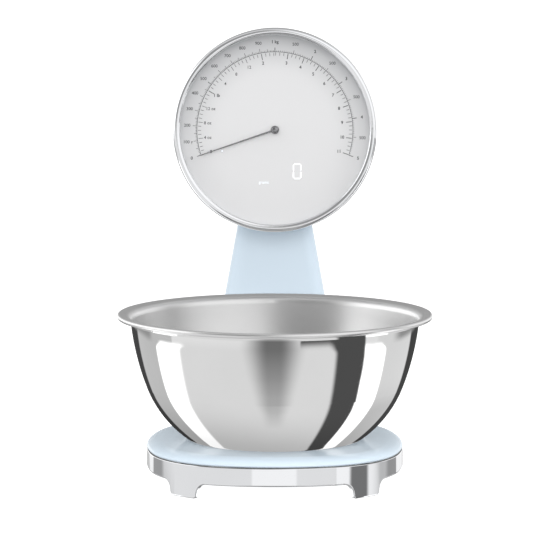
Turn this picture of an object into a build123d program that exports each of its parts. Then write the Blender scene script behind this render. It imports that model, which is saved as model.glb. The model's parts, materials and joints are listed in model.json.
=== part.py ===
"""Kitchen scale: chrome-skirted base, floating platform, mixing bowl, column and round dial head.

Millimetres, +Z up, +X to the right of someone reading the dial, who stands at -Y.
The origin is on the table, under the middle of the scale's overall box.
"""
from math import atan2, cos, degrees, radians, sin, sqrt
import os

from build123d import *

os.makedirs("parts", exist_ok=True)

# ---------------------------------------------------------------- driving dimensions
# Bowl: flat bottom, three tangent arcs up the side, flange and rolled lip
SHEET = 0.9
BOWL_FLAT_R = 69.5
BOWL_ARCS = ((6.8, 36.1), (91.6, 32.8), (212.9, 14.82))  # outer radius, degrees turned
FLANGE_BEND_R = 7.0
FLANGE_SLOPE = 12.0
FLANGE_RUN = 3.69
LIP_R = 1.65                                             # middle of the rolled sheet
LIP_TURN = 290.0

# Base and platform share a squircle outline drawn with eight arcs
BASE_HALF = 105.0
SIDE_R = 170.0
CORNER_R = 80.0
TONGUE_WIDTH = 136.0
TONGUE_BACK = 170.0                                      # behind the bowl's axis
TONGUE_CORNER_R = 24.0
TONGUE_BLEND_R = 18.0
SKIRT_WALL = 2.2
SKIRT_TOP = 27.3
SKIRT_BOTTOM = 12.4
SKIRT_UPPER_EDGE_R = 0.6
SKIRT_LOWER_EDGE_R = 1.2
FOOT_BOTTOM = 0.4
FOOT_THICK = 3.4
FOOT_HALF = 13.2
FOOT_TOP_HALF = 15.4
FOOT_SPREAD = 37.0                                       # half width that the flares end within
FOOT_FLARE_R = 7.5
FOOT_DEPTH = 20.0                                        # how far in the feet cut the skirt
FRONT_FOOT_AZIMUTH = 41.75
REAR_FOOT_AZIMUTH = 45.0
FIT = 0.15                                               # gap between fixed mouldings

DECK_TOP = 26.8
DECK_THICK = 2.0
TRAY_BOTTOM = 13.0
TRAY_FLOOR = 15.2
TRAY_WALL = 2.0
PAD_TOP = 3.0

PLATE_BOTTOM = 28.1
PLATE_TOP = 34.7
PLATE_CROWN = 13.0                                       # width of the rounded edge
PLATE_SKIN_UNDER = 32.5
SPIDER_BOTTOM = 30.0

CELL_LENGTH = 74.0
CELL_WIDTH = 12.0
CELL_BOTTOM = 17.2
CELL_TOP = 24.4

# Column: upright front clear of the bowl's rim, even taper from the deck into the head
COLUMN_FRONT = 132.0                                     # behind the bowl's axis
COLUMN_BASE_WIDTH = 125.5
COLUMN_BASE_DEPTH = 32.0
COLUMN_TOP_WIDTH = 56.0
COLUMN_TOP_DEPTH = 22.5
COLUMN_TOP = 219.3
COLUMN_CORNER_R = 10.5
COLUMN_WALL = 2.4
COLUMN_SPLIT = 147.0
CORE_WIDTH = 34.0
CORE_FRONT = 141.0
CORE_DEPTH = 8.0
CORE_SHEET = 2.5
CORE_TOP = 225.5

# Dial head: everything is revolved or stacked along the dial's own axis.
# Heights on that axis are measured from the printed face, positive towards the reader.
DIAL_Z = 279.3
DIAL_BACK = 120.0                                        # face centre behind the bowl's axis
DIAL_TILT = 4.0
BEZEL_R = 87.0
BEZEL_OPENING_R = 80.8
GLASS_R = 82.5
GLASS_FRONT = 8.0
GLASS_THICK = 2.0
FACE_THICK = 1.5
SHELL_R = 85.2
SHELL_WALL = 2.4
SHELL_BACK = -42.0
SHELL_EDGE_R = 16.0
BOARD_FRONT = -9.4
BOARD_THICK = 1.6
CARRIER_BACK = -15.0
COMPONENT_FRONT = -1.9                                   # just behind the face

POINTER_REST = 198.8                                     # degrees, anticlockwise from +X
POINTER_LENGTH = 67.0
SHAFT_R = 1.0
RUNNING_GAP = 0.06
BUTTON_R = 6.0
BUTTON_TRAVEL = 1.2
BUTTON_X = 18.0
BUTTON_UP = -20.0

# The bowl's rim and the tongue's end are the two ends of the overall box
BOWL_LIP_OUTER = 129.1
AXIS_Y = (BOWL_LIP_OUTER - TONGUE_BACK) / 2

# ---------------------------------------------------------------- shared geometry
DIAL_CENTRE = Vector(0, AXIS_Y + DIAL_BACK, DIAL_Z)
TILT = radians(DIAL_TILT)
DIAL = Plane(origin=DIAL_CENTRE, x_dir=(1, 0, 0), z_dir=(0, -cos(TILT), sin(TILT)))
DIAL_SECTION = Plane(origin=DIAL_CENTRE, x_dir=(1, 0, 0), z_dir=DIAL.y_dir * -1)
DIAL_AXIS = Axis(DIAL_CENTRE, DIAL.z_dir)
BOWL_SECTION = Plane(origin=(0, AXIS_Y, 0), x_dir=(1, 0, 0), z_dir=(0, -1, 0))
BOWL_AXIS = Axis((0, AXIS_Y, 0), (0, 0, 1))


def export(piece, name):
    """Label a finished piece and write it to its own file."""
    piece.part.label = name
    export_step(piece.part, f"parts/{name}.step")


def base_plane(height):
    """Horizontal plane whose origin is on the bowl's axis."""
    return Plane(origin=(0, AXIS_Y, height), x_dir=(1, 0, 0), z_dir=(0, 0, 1))


def squircle(inset=0.0):
    """Platform outline: four side arcs and four corner arcs, all tangent, moved in by inset."""
    centre_offset = SIDE_R - BASE_HALF
    centre_gap = SIDE_R - CORNER_R
    corner = (-centre_offset + sqrt(2 * centre_gap**2 - centre_offset**2)) / 2
    swing = degrees(atan2(corner, corner + centre_offset))
    with BuildSketch(Plane.XY) as sketch:
        with BuildLine():
            for quarter in range(4):
                turn = 90 * quarter
                side_centre = Vector(0, -centre_offset).rotate(Axis.Z, turn)
                corner_centre = Vector(-corner, corner).rotate(Axis.Z, turn)
                CenterArc(side_centre, SIDE_R - inset, 90 - swing + turn, 2 * swing)
                CenterArc(corner_centre, CORNER_R - inset, 90 + swing + turn, 90 - 2 * swing)
        make_face()
    return sketch.sketch


def base_outline(inset=0.0):
    """Base outline: the squircle with a rounded tongue behind it for the column."""
    length = TONGUE_BACK - 40
    with BuildSketch(Plane.XY) as sketch:
        add(squircle())
        with Locations((0, TONGUE_BACK - length / 2)):
            RectangleRounded(TONGUE_WIDTH, length, TONGUE_CORNER_R)
        inner_corners = [v for v in sketch.vertices()
                         if abs(abs(v.X) - TONGUE_WIDTH / 2) < 0.01 and v.Y < BASE_HALF]
        fillet(inner_corners, radius=TONGUE_BLEND_R)
        if inset:
            offset(amount=-inset, mode=Mode.REPLACE)
    return sketch.sketch


def foot_planes():
    """One upright plane per foot, facing outwards, with its origin inside the base."""
    corner_y = AXIS_Y + TONGUE_BACK - TONGUE_CORNER_R
    corner_x = TONGUE_WIDTH / 2 - TONGUE_CORNER_R
    planes = []
    for side in (-1, 1):
        front = radians(FRONT_FOOT_AZIMUTH)
        rear = radians(REAR_FOOT_AZIMUTH)
        out_front = (side * sin(front), -cos(front), 0)
        out_rear = (side * sin(rear), cos(rear), 0)
        planes.append(Plane(origin=(0, AXIS_Y, 0), x_dir=(-out_front[1], out_front[0], 0),
                            z_dir=out_front))
        planes.append(Plane(origin=(side * corner_x, corner_y, 0),
                            x_dir=(-out_rear[1], out_rear[0], 0), z_dir=out_rear))
    return planes


FOOT_PLANES = foot_planes()
FRONT_FOOT_REACH = 111.35                                # outline radius at a front foot
FOOT_REACHES = (FRONT_FOOT_REACH, TONGUE_CORNER_R) * 2


def screw(length, radius=1.5, head_r=2.8, head_height=1.8):
    """Pan-head screw along +Z, head underside at the origin, tip at +length."""
    with BuildPart() as body:
        Cylinder(radius, length, align=(Align.CENTER, Align.CENTER, Align.MIN))
        with Locations((0, 0, -head_height)):
            Cylinder(head_r, head_height, align=(Align.CENTER, Align.CENTER, Align.MIN))
        with Locations((0, 0, -head_height)):
            Box(head_r * 1.3, head_r / 4, head_height, mode=Mode.SUBTRACT)
            Box(head_r / 4, head_r * 1.3, head_height, mode=Mode.SUBTRACT)
    return body.part


def screw_group(planes, length, radius=1.5, head_r=2.8, head_height=1.8):
    """Identical screws, one on each plane, driven along the plane's normal."""
    with BuildPart() as group:
        for plane in planes:
            add(plane * screw(length, radius, head_r, head_height))
    return group


def drum(radius, back, edge_r, front):
    """Solid drum on the dial's axis with a rounded rear edge."""
    with BuildPart() as body:
        with BuildSketch(DIAL_SECTION):
            with BuildLine():
                rear = Line((0, back), (radius - edge_r, back))
                edge = JernArc(rear @ 1, rear % 1, edge_r, 90)
                side = Line(edge @ 1, (radius, front))
                Polyline(side @ 1, (0, front), (0, back))
            make_face()
        revolve(axis=DIAL_AXIS)
    return body.part


# ---------------------------------------------------------------- mixing bowl
with BuildPart() as mixing_bowl:
    with BuildSketch(BOWL_SECTION):
        with BuildLine():
            floor = Line((0, PLATE_TOP + SHEET / 2), (BOWL_FLAT_R, PLATE_TOP + SHEET / 2))
            wall = floor
            for outer_r, turned in BOWL_ARCS:
                wall = JernArc(wall @ 1, wall % 1, outer_r - SHEET / 2, turned)
            lean = sum(turned for _, turned in BOWL_ARCS)
            bend = JernArc(wall @ 1, wall % 1, FLANGE_BEND_R, FLANGE_SLOPE - lean)
            flange = Line(bend @ 1, bend @ 1 + (bend % 1) * FLANGE_RUN)
            JernArc(flange @ 1, flange % 1, LIP_R, -LIP_TURN)
        trace(line_width=SHEET)
        split(bisect_by=Plane.YZ, keep=Keep.TOP)
    revolve(axis=BOWL_AXIS)
export(mixing_bowl, "mixing_bowl")

# ---------------------------------------------------------------- platform
CROWN_STEPS = (0.0, 0.3, 0.55, 0.75, 0.9, 1.0)           # share of the crown's height
CROWN_HEIGHT = PLATE_TOP - PLATE_BOTTOM - 0.9

with BuildPart() as platform_plate:
    with BuildSketch(base_plane(PLATE_BOTTOM)):
        add(squircle(0.7))
    with BuildSketch(base_plane(PLATE_TOP - CROWN_HEIGHT)):
        add(squircle())
    loft(ruled=True)
    for share in CROWN_STEPS:
        run_in = PLATE_CROWN * (1 - sqrt(1 - share**2))
        with BuildSketch(base_plane(PLATE_TOP - CROWN_HEIGHT * (1 - share))):
            add(squircle(run_in))
    loft()
    with BuildSketch(base_plane(PLATE_BOTTOM)):
        add(squircle(6))
    extrude(amount=PLATE_SKIN_UNDER - PLATE_BOTTOM, mode=Mode.SUBTRACT)
export(platform_plate, "platform_plate")


SPIDER_ARM = (170.0, 36.0)                               # length and width of each of the two arms
SPIDER_CORNER_R = 10.0
CELL_SCREW_X = (22.0, 32.0)                              # from the bar's middle, both ends
NECK_MIDDLE = sum(CELL_SCREW_X) / 2
NECK_LENGTH = 19.0
SCREW_HOLE_R = 1.6
FREE_HEAD_HEIGHT = 1.4
SPIDER_HOLE_DEPTH = 4.0

with BuildPart() as platform_spider:
    with BuildSketch(base_plane(SPIDER_BOTTOM)):
        RectangleRounded(*SPIDER_ARM, SPIDER_CORNER_R)
        RectangleRounded(SPIDER_ARM[1], SPIDER_ARM[0], SPIDER_CORNER_R)
    extrude(amount=PLATE_SKIN_UNDER - SPIDER_BOTTOM)
    with BuildSketch(base_plane(CELL_TOP)):
        with Locations((NECK_MIDDLE, 0)):
            Rectangle(NECK_LENGTH, CELL_WIDTH)
    extrude(amount=SPIDER_BOTTOM - CELL_TOP)
    with BuildSketch(base_plane(CELL_TOP)):
        with Locations(*[(x, 0) for x in CELL_SCREW_X]):
            Circle(SCREW_HOLE_R)
    extrude(amount=SPIDER_HOLE_DEPTH, mode=Mode.SUBTRACT)
export(platform_spider, "platform_spider")

spider_screw_planes = [Plane(origin=(x, AXIS_Y, CELL_BOTTOM)) for x in CELL_SCREW_X]
spider_screws = screw_group(spider_screw_planes, 10.5, head_r=2.4, head_height=FREE_HEAD_HEIGHT)
export(spider_screws, "spider_screws")

# ---------------------------------------------------------------- base: skirt
with BuildPart() as skirt_limits:
    with BuildSketch(base_plane(SKIRT_BOTTOM)):
        Rectangle(400, 400)
    extrude(amount=SKIRT_TOP - SKIRT_BOTTOM)
    for plane, reach in zip(FOOT_PLANES, FOOT_REACHES):
        with BuildSketch(plane.offset(reach - FOOT_DEPTH)) as foot_face:
            with BuildLine():
                Polyline((-FOOT_HALF, FOOT_BOTTOM), (FOOT_HALF, FOOT_BOTTOM),
                         (FOOT_TOP_HALF, SKIRT_BOTTOM), (FOOT_SPREAD, SKIRT_BOTTOM),
                         (FOOT_SPREAD, SKIRT_BOTTOM + 2), (-FOOT_SPREAD, SKIRT_BOTTOM + 2),
                         (-FOOT_SPREAD, SKIRT_BOTTOM), (-FOOT_TOP_HALF, SKIRT_BOTTOM), close=True)
            make_face()
            fillet([v for v in foot_face.vertices()
                    if abs(v.X) < FOOT_TOP_HALF + 1 and v.Y > SKIRT_BOTTOM - 1], radius=FOOT_FLARE_R)
            fillet([v for v in foot_face.vertices() if v.Y < FOOT_BOTTOM + 0.1], radius=3.0)
        extrude(amount=FOOT_DEPTH + 10)

OUTLINE = base_outline().wires()[0]


def on_outline(point):
    """Whether a point lies on the base's outer surface."""
    return OUTLINE.distance_to(Vector(point.X, point.Y - AXIS_Y, 0)) < 0.05


with BuildPart() as base_ring:
    with BuildSketch(base_plane(FOOT_BOTTOM)):
        add(base_outline())
        add(base_outline(SKIRT_WALL), mode=Mode.SUBTRACT)
    extrude(amount=SKIRT_TOP - FOOT_BOTTOM)
    with BuildSketch(base_plane(FOOT_BOTTOM)):
        add(base_outline())
        add(base_outline(FOOT_THICK), mode=Mode.SUBTRACT)
    extrude(amount=SKIRT_BOTTOM - FOOT_BOTTOM)
    add(skirt_limits.part, mode=Mode.INTERSECT)
    lower_edges = [edge for edge in base_ring.edges() if on_outline(edge @ 0.5)
                   and on_outline(edge @ 0.2) and (edge @ 0.5).Z < SKIRT_BOTTOM + 0.01
                   and edge.length > 1]
    fillet(lower_edges, radius=SKIRT_LOWER_EDGE_R)
    fillet(base_ring.faces().sort_by(Axis.Z)[-1].outer_wire().edges(), radius=SKIRT_UPPER_EDGE_R)
export(base_ring, "base_ring")

# ---------------------------------------------------------------- base: deck
BOSS_POINTS = [(side * x, y) for side in (-1, 1) for x, y in ((72, -48), (84, 30), (52, 128))]
BOSS_R = 4.0
CABLE_X = 24.0
SLOT_FRONT = COLUMN_FRONT + COLUMN_WALL + 0.6
SLOT_BACK = 151.5
SLOT_LEFT = -20.0
SLOT_RIGHT = CABLE_X + 4
NECK_CLEARANCE = (9.0, 10.0)                             # how much longer and wider than the neck

with BuildPart() as base_deck:
    with BuildSketch(base_plane(DECK_TOP - DECK_THICK)):
        add(base_outline(SKIRT_WALL + FIT))
        with Locations((NECK_MIDDLE, 0)):
            Rectangle(NECK_LENGTH + NECK_CLEARANCE[0], CELL_WIDTH + NECK_CLEARANCE[1],
                      mode=Mode.SUBTRACT)
        with Locations(((SLOT_LEFT + SLOT_RIGHT) / 2, (SLOT_FRONT + SLOT_BACK) / 2)):
            Rectangle(SLOT_RIGHT - SLOT_LEFT, SLOT_BACK - SLOT_FRONT, mode=Mode.SUBTRACT)
    extrude(amount=DECK_THICK)
    with BuildSketch(base_plane(TRAY_FLOOR)):
        with Locations(*BOSS_POINTS):
            Circle(BOSS_R)
    extrude(amount=DECK_TOP - DECK_THICK - TRAY_FLOOR)
    with BuildSketch(base_plane(TRAY_FLOOR)):
        with Locations(*BOSS_POINTS):
            Circle(SCREW_HOLE_R)
    extrude(amount=9.5, mode=Mode.SUBTRACT)
export(base_deck, "base_deck")

# ---------------------------------------------------------------- base: batteries
AA_R = 7.25
AA_LENGTH = 50.5
AA_PITCH = 15.2
AA_BOTTOM = 8.25
WELL_X = 31.0                                            # inside half width
WELL_FRONT = 34.0
WELL_BACK = 90.0
WELL_ROOF = 23.0
WELL_WALL = 1.5
WELL_RIM = 7.4
CONTACT_SHEET = 0.6
BUTTON_END = (2.75, 1.2)                                 # radius and height of a cell's raised end
SPRING_R = 3.2
SPRING_WIRE = 1.0
CELL_XS = [AA_PITCH * (index - 1.5) for index in range(4)]
AA_MIDDLE_Y = (WELL_FRONT + WELL_BACK) / 2

with BuildPart() as batteries:
    for index, x in enumerate(CELL_XS):
        facing = 1 if index % 2 else -1
        start = Plane(origin=(x, AXIS_Y + AA_MIDDLE_Y - facing * AA_LENGTH / 2, AA_BOTTOM + AA_R),
                      x_dir=(1, 0, 0), z_dir=(0, facing, 0))
        with BuildSketch(start):
            Circle(AA_R)
        extrude(amount=AA_LENGTH - BUTTON_END[1])
        with BuildSketch(start):
            Circle(BUTTON_END[0])
        extrude(amount=AA_LENGTH)
export(batteries, "batteries")

with BuildPart() as battery_contacts:
    for x in CELL_XS:
        for facing, wall_y in ((1, WELL_FRONT), (-1, WELL_BACK)):
            contact_plane = Plane(origin=(x, AXIS_Y + wall_y, AA_BOTTOM + AA_R),
                                  x_dir=(1, 0, 0), z_dir=(0, facing, 0))
            with BuildSketch(contact_plane):
                RectangleRounded(12, 11, 1.5)
            extrude(amount=CONTACT_SHEET)
            with BuildSketch(contact_plane.offset(CONTACT_SHEET)):
                Circle(SPRING_R)
                Circle(SPRING_R - SPRING_WIRE, mode=Mode.SUBTRACT)
            extrude(amount=(WELL_BACK - WELL_FRONT - AA_LENGTH) / 2 - CONTACT_SHEET)
export(battery_contacts, "battery_contacts")

DOOR_BOTTOM = 5.6
DOOR_TOP = 7.2
DOOR_HALF = 33.1
DOOR_FRONT = WELL_FRONT - WELL_WALL + 0.6
DOOR_BACK = WELL_BACK + WELL_WALL
RAIL_GAP = 0.2
RAIL_WALL = 1.6

with BuildPart() as battery_door:
    with BuildSketch(base_plane(DOOR_BOTTOM)):
        with Locations((0, (DOOR_FRONT + DOOR_BACK) / 2)):
            Rectangle(2 * DOOR_HALF, DOOR_BACK - DOOR_FRONT)
    extrude(amount=DOOR_TOP - DOOR_BOTTOM)
    with BuildSketch(base_plane(DOOR_BOTTOM - 0.6)):
        with Locations((0, DOOR_BACK - 14)):
            with GridLocations(1, 3.0, 1, 5):
                SlotOverall(22, 1.4)
    extrude(amount=0.6)
export(battery_door, "battery_door")

# ---------------------------------------------------------------- base: tray
AMP_MIDDLE = (22.0, 105.0)
AMP_SIZE = (28.0, 14.0)
AMP_BOTTOM = 17.0
AMP_POSTS = ((-10, -4), (10, 4))
CORE_SCREW_X = 10.0
CORE_FOOT_FRONT = 118.0
CORE_SCREW_Y = 128.0
STOP_X = NECK_MIDDLE
STOP_TOP = 16.6
LEG_SIZE = (12.0, 7.0)
LEG_CORNER_R = 2.5
LEG_SETBACKS = (8.4, 9.2) * 2                            # leg's middle inside the outline
LEG_SHIFTS = (-6.0, 0.0, 6.0, 0.0)                       # sideways, so that the feet hide the legs
PAD_MARGIN = 0.6

LEG_PLANES = [Plane(origin=plane.origin + plane.z_dir * (reach - setback) + plane.x_dir * shift,
                    x_dir=plane.x_dir, z_dir=(0, 0, 1))
              for plane, reach, setback, shift
              in zip(FOOT_PLANES, FOOT_REACHES, LEG_SETBACKS, LEG_SHIFTS)]


def amp_points():
    """Centres of the amplifier board's two posts."""
    return [(AMP_MIDDLE[0] + x, AMP_MIDDLE[1] + y) for x, y in AMP_POSTS]


with BuildPart() as bottom_cover:
    with BuildSketch(base_plane(TRAY_BOTTOM)):
        add(base_outline(SKIRT_WALL + FIT))
    extrude(amount=TRAY_FLOOR - TRAY_BOTTOM)
    with BuildSketch(base_plane(TRAY_FLOOR)):
        add(base_outline(SKIRT_WALL + FIT))
        add(base_outline(SKIRT_WALL + FIT + TRAY_WALL), mode=Mode.SUBTRACT)
    extrude(amount=DECK_TOP - DECK_THICK - TRAY_FLOOR)
    for plane in LEG_PLANES:
        with BuildSketch(plane.offset(PAD_TOP)):
            RectangleRounded(*LEG_SIZE, LEG_CORNER_R)
        extrude(amount=TRAY_BOTTOM - PAD_TOP)
    # pad under the load cell's fixed end, and posts for the amplifier board
    with BuildSketch(base_plane(TRAY_FLOOR)):
        with Locations((-NECK_MIDDLE, 0)):
            Rectangle(NECK_LENGTH, CELL_WIDTH)
    extrude(amount=CELL_BOTTOM - TRAY_FLOOR)
    with BuildSketch(base_plane(TRAY_FLOOR)):
        with Locations(*amp_points()):
            Circle(2.5)
    extrude(amount=AMP_BOTTOM - TRAY_FLOOR)
    # battery well, open underneath
    with BuildSketch(base_plane(WELL_RIM)):
        with Locations((0, AA_MIDDLE_Y)):
            Rectangle(2 * (WELL_X + WELL_WALL), WELL_BACK - WELL_FRONT + 2 * WELL_WALL)
    extrude(amount=WELL_ROOF + WELL_WALL - WELL_RIM)
    with BuildSketch(base_plane(WELL_RIM)):
        with Locations((0, AA_MIDDLE_Y)):
            Rectangle(2 * WELL_X, WELL_BACK - WELL_FRONT)
    extrude(amount=WELL_ROOF - WELL_RIM, mode=Mode.SUBTRACT)
    # rails that carry the battery door, and the stop at its front edge
    for side in (-1, 1):
        rail_x = side * (DOOR_HALF + RAIL_GAP + RAIL_WALL / 2)
        with BuildSketch(base_plane(DOOR_BOTTOM - RAIL_GAP - 1)):
            with Locations((rail_x, (DOOR_FRONT + DOOR_BACK) / 2)):
                Rectangle(RAIL_WALL, DOOR_BACK - DOOR_FRONT)
        extrude(amount=TRAY_BOTTOM - DOOR_BOTTOM + RAIL_GAP + 1)
        with BuildSketch(base_plane(DOOR_BOTTOM - RAIL_GAP - 1)):
            with Locations((side * (DOOR_HALF - 0.4), (DOOR_FRONT + DOOR_BACK) / 2)):
                Rectangle(3.0, DOOR_BACK - DOOR_FRONT)
        extrude(amount=1)
    with BuildSketch(base_plane(DOOR_BOTTOM)):
        with Locations((0, DOOR_FRONT - RAIL_GAP - 0.8)):
            Rectangle(2 * WELL_X, 1.6)
    extrude(amount=TRAY_BOTTOM - DOOR_BOTTOM)
    # screw holes
    with BuildSketch(base_plane(TRAY_BOTTOM)):
        with Locations(*BOSS_POINTS):
            Circle(SCREW_HOLE_R)
        with Locations(*[(-x, 0) for x in CELL_SCREW_X]):
            Circle(SCREW_HOLE_R)
        with Locations((-CORE_SCREW_X, CORE_SCREW_Y), (CORE_SCREW_X, CORE_SCREW_Y)):
            Circle(SCREW_HOLE_R)
        with Locations((STOP_X, 0)):
            Circle(2.0 + RUNNING_GAP)
    extrude(amount=CELL_BOTTOM - TRAY_BOTTOM, mode=Mode.SUBTRACT)
export(bottom_cover, "bottom_cover")

with BuildPart() as foot_pads:
    for plane in LEG_PLANES:
        with BuildSketch(plane):
            RectangleRounded(LEG_SIZE[0] - 2 * PAD_MARGIN, LEG_SIZE[1] - 2 * PAD_MARGIN,
                             LEG_CORNER_R - PAD_MARGIN)
        extrude(amount=PAD_TOP)
    fillet(foot_pads.edges().group_by(Axis.Z)[0], radius=0.5)
export(foot_pads, "foot_pads")

bottom_screw_planes = [Plane(origin=(x, AXIS_Y + y, TRAY_BOTTOM)) for x, y in BOSS_POINTS]
bottom_screws = screw_group(bottom_screw_planes, 10.0)
export(bottom_screws, "bottom_screws")

# ---------------------------------------------------------------- base: load cell and its wiring
with BuildPart() as load_cell:
    with BuildSketch(base_plane(CELL_BOTTOM)):
        Rectangle(CELL_LENGTH, CELL_WIDTH)
    extrude(amount=CELL_TOP - CELL_BOTTOM)
    with BuildSketch(Plane(origin=(0, AXIS_Y, (CELL_BOTTOM + CELL_TOP) / 2), x_dir=(1, 0, 0),
                           z_dir=(0, -1, 0))):
        SlotCenterToCenter(12, 3.0)
        with Locations((-6, 0), (6, 0)):
            Circle(2.7)
    extrude(amount=CELL_WIDTH, both=True, mode=Mode.SUBTRACT)
    with BuildSketch(base_plane(CELL_BOTTOM)):
        with Locations(*[(side * x, 0) for side in (-1, 1) for x in CELL_SCREW_X]):
            Circle(SCREW_HOLE_R + 0.05)
    extrude(amount=CELL_TOP - CELL_BOTTOM, mode=Mode.SUBTRACT)
export(load_cell, "load_cell")

load_cell_screws = screw_group([Plane(origin=(-x, AXIS_Y, TRAY_BOTTOM)) for x in CELL_SCREW_X], 10.0)
export(load_cell_screws, "load_cell_screws")

with BuildPart() as overload_stop:
    with BuildSketch(base_plane(TRAY_BOTTOM)):
        with Locations((STOP_X, 0)):
            Circle(2.0)
    extrude(amount=STOP_TOP - TRAY_BOTTOM)
    with BuildSketch(base_plane(TRAY_BOTTOM)):
        with Locations((STOP_X, 0)):
            RegularPolygon(1.0, 6)
    extrude(amount=1.6, mode=Mode.SUBTRACT)
export(overload_stop, "overload_stop")

AMP_TOP = AMP_BOTTOM + BOARD_THICK
WIRE_Z = 20.8
WIRE_R = 1.1
CABLE_R = 1.6

with BuildPart() as amplifier_board:
    with BuildSketch(base_plane(AMP_BOTTOM)):
        with Locations(AMP_MIDDLE):
            Rectangle(*AMP_SIZE)
    extrude(amount=BOARD_THICK)
    with BuildSketch(base_plane(AMP_TOP)):
        with Locations((AMP_MIDDLE[0], AMP_MIDDLE[1] - 2)):
            Rectangle(7, 5)
    extrude(amount=1.2)
    with BuildSketch(base_plane(AMP_TOP)):
        with Locations((AMP_MIDDLE[0] - AMP_SIZE[0] / 2 + 2.5, AMP_MIDDLE[1])):
            Rectangle(5, 8)
        with Locations((CABLE_X, AMP_MIDDLE[1] + AMP_SIZE[1] / 2 - 2)):
            Rectangle(8, 4)
    extrude(amount=4)
export(amplifier_board, "amplifier_board")

with BuildPart() as gauge_wire:
    with BuildLine():
        FilletPolyline((-CELL_LENGTH / 2, AXIS_Y, WIRE_Z), (-46, AXIS_Y, WIRE_Z),
                       (-46, AXIS_Y + AMP_MIDDLE[1], WIRE_Z),
                       (AMP_MIDDLE[0] - AMP_SIZE[0] / 2, AXIS_Y + AMP_MIDDLE[1], WIRE_Z), radius=7)
    with BuildSketch(Plane(origin=(-CELL_LENGTH / 2, AXIS_Y, WIRE_Z), z_dir=(-1, 0, 0))):
        Circle(WIRE_R)
    sweep()
export(gauge_wire, "gauge_wire")

CABLE_START = AXIS_Y + AMP_MIDDLE[1] + AMP_SIZE[1] / 2
CABLE_RISE = AXIS_Y + 144
CABLE_BEND = (AXIS_Y + 128.9, 218.0)
CABLE_END = (AXIS_Y + 129.6, 228.4)

with BuildPart() as signal_cable:
    with BuildLine():
        FilletPolyline((CABLE_X, CABLE_START, WIRE_Z + 0.2), (CABLE_X, CABLE_RISE, WIRE_Z + 0.2),
                       (CABLE_X, CABLE_RISE, 198), (CABLE_X, *CABLE_BEND), (CABLE_X, *CABLE_END),
                       radius=8)
    with BuildSketch(Plane(origin=(CABLE_X, CABLE_START, WIRE_Z + 0.2), z_dir=(0, 1, 0))):
        Circle(CABLE_R)
    sweep()
export(signal_cable, "signal_cable")

# ---------------------------------------------------------------- column
SPLIT_PLANE = Plane(origin=(0, AXIS_Y + COLUMN_SPLIT, 0), x_dir=(1, 0, 0), z_dir=(0, 1, 0))
COLUMN_SCREWS = [(side * x, z) for side in (-1, 1) for x, z in ((46, 60), (31, 160))]
COLUMN_BOSS_R = 3.6
RECESS_R = 3.2
RECESS_DEPTH = 4.4
COLUMN_SCREW_TIP = 139.0
COLUMN_BACK_LEAN = (COLUMN_BASE_DEPTH - COLUMN_TOP_DEPTH) / (COLUMN_TOP - DECK_TOP)


def column_back(height):
    """Distance of the column's rear face behind the bowl's axis at a height."""
    return COLUMN_FRONT + COLUMN_BASE_DEPTH - COLUMN_BACK_LEAN * (height - DECK_TOP)


def column_width(height):
    """Width of the column, tapering evenly from the deck to its top."""
    rise = (height - DECK_TOP) / (COLUMN_TOP - DECK_TOP)
    return COLUMN_BASE_WIDTH + rise * (COLUMN_TOP_WIDTH - COLUMN_BASE_WIDTH)


def column_section(height, inset):
    """Rounded section of the column at one height."""
    back = column_back(height)
    with BuildSketch(base_plane(height)) as section:
        with Locations((0, (COLUMN_FRONT + back) / 2)):
            RectangleRounded(column_width(height) - 2 * inset, back - COLUMN_FRONT - 2 * inset,
                             COLUMN_CORNER_R - inset)
    return section.sketch


with BuildPart() as column_tube:
    for inset, mode in ((0, Mode.ADD), (COLUMN_WALL, Mode.SUBTRACT)):
        loft([column_section(DECK_TOP, inset), column_section(COLUMN_TOP, inset)],
             ruled=True, mode=mode)
    add(drum(SHELL_R + FIT, SHELL_BACK - FIT, SHELL_EDGE_R + FIT, GLASS_FRONT), mode=Mode.SUBTRACT)

with BuildPart() as column_front_shell:
    add(column_tube.part)
    split(bisect_by=SPLIT_PLANE, keep=Keep.BOTTOM)
    for x, z in COLUMN_SCREWS:
        boss = Plane(origin=(x, AXIS_Y + COLUMN_SPLIT, z), x_dir=(1, 0, 0), z_dir=(0, -1, 0))
        with BuildSketch(boss):
            Circle(COLUMN_BOSS_R)
        extrude(amount=COLUMN_SPLIT - COLUMN_FRONT - COLUMN_WALL + 0.3)
        with BuildSketch(boss):
            Circle(SCREW_HOLE_R)
        extrude(amount=COLUMN_SPLIT - COLUMN_SCREW_TIP + 0.5, mode=Mode.SUBTRACT)
export(column_front_shell, "column_front_shell")

with BuildPart() as column_rear_shell:
    add(column_tube.part)
    split(bisect_by=SPLIT_PLANE, keep=Keep.TOP)
    for x, z in COLUMN_SCREWS:
        boss = Plane(origin=(x, AXIS_Y + COLUMN_SPLIT, z), x_dir=(1, 0, 0), z_dir=(0, 1, 0))
        seat = column_back(z) - RECESS_DEPTH - COLUMN_SPLIT
        with BuildSketch(boss):
            Circle(COLUMN_BOSS_R + 1.2)
        extrude(amount=seat + RECESS_DEPTH - 1)
        with BuildSketch(boss):
            Circle(SCREW_HOLE_R)
        extrude(amount=seat, mode=Mode.SUBTRACT)
        with BuildSketch(boss.offset(seat)):
            Circle(RECESS_R)
        extrude(amount=RECESS_DEPTH + 4, mode=Mode.SUBTRACT)
export(column_rear_shell, "column_rear_shell")

with BuildPart() as column_screws:
    for x, z in COLUMN_SCREWS:
        seat = column_back(z) - RECESS_DEPTH
        driven = Plane(origin=(x, AXIS_Y + seat, z), x_dir=(1, 0, 0), z_dir=(0, -1, 0))
        add(driven * screw(seat - COLUMN_SCREW_TIP))
export(column_screws, "column_screws")

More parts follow.
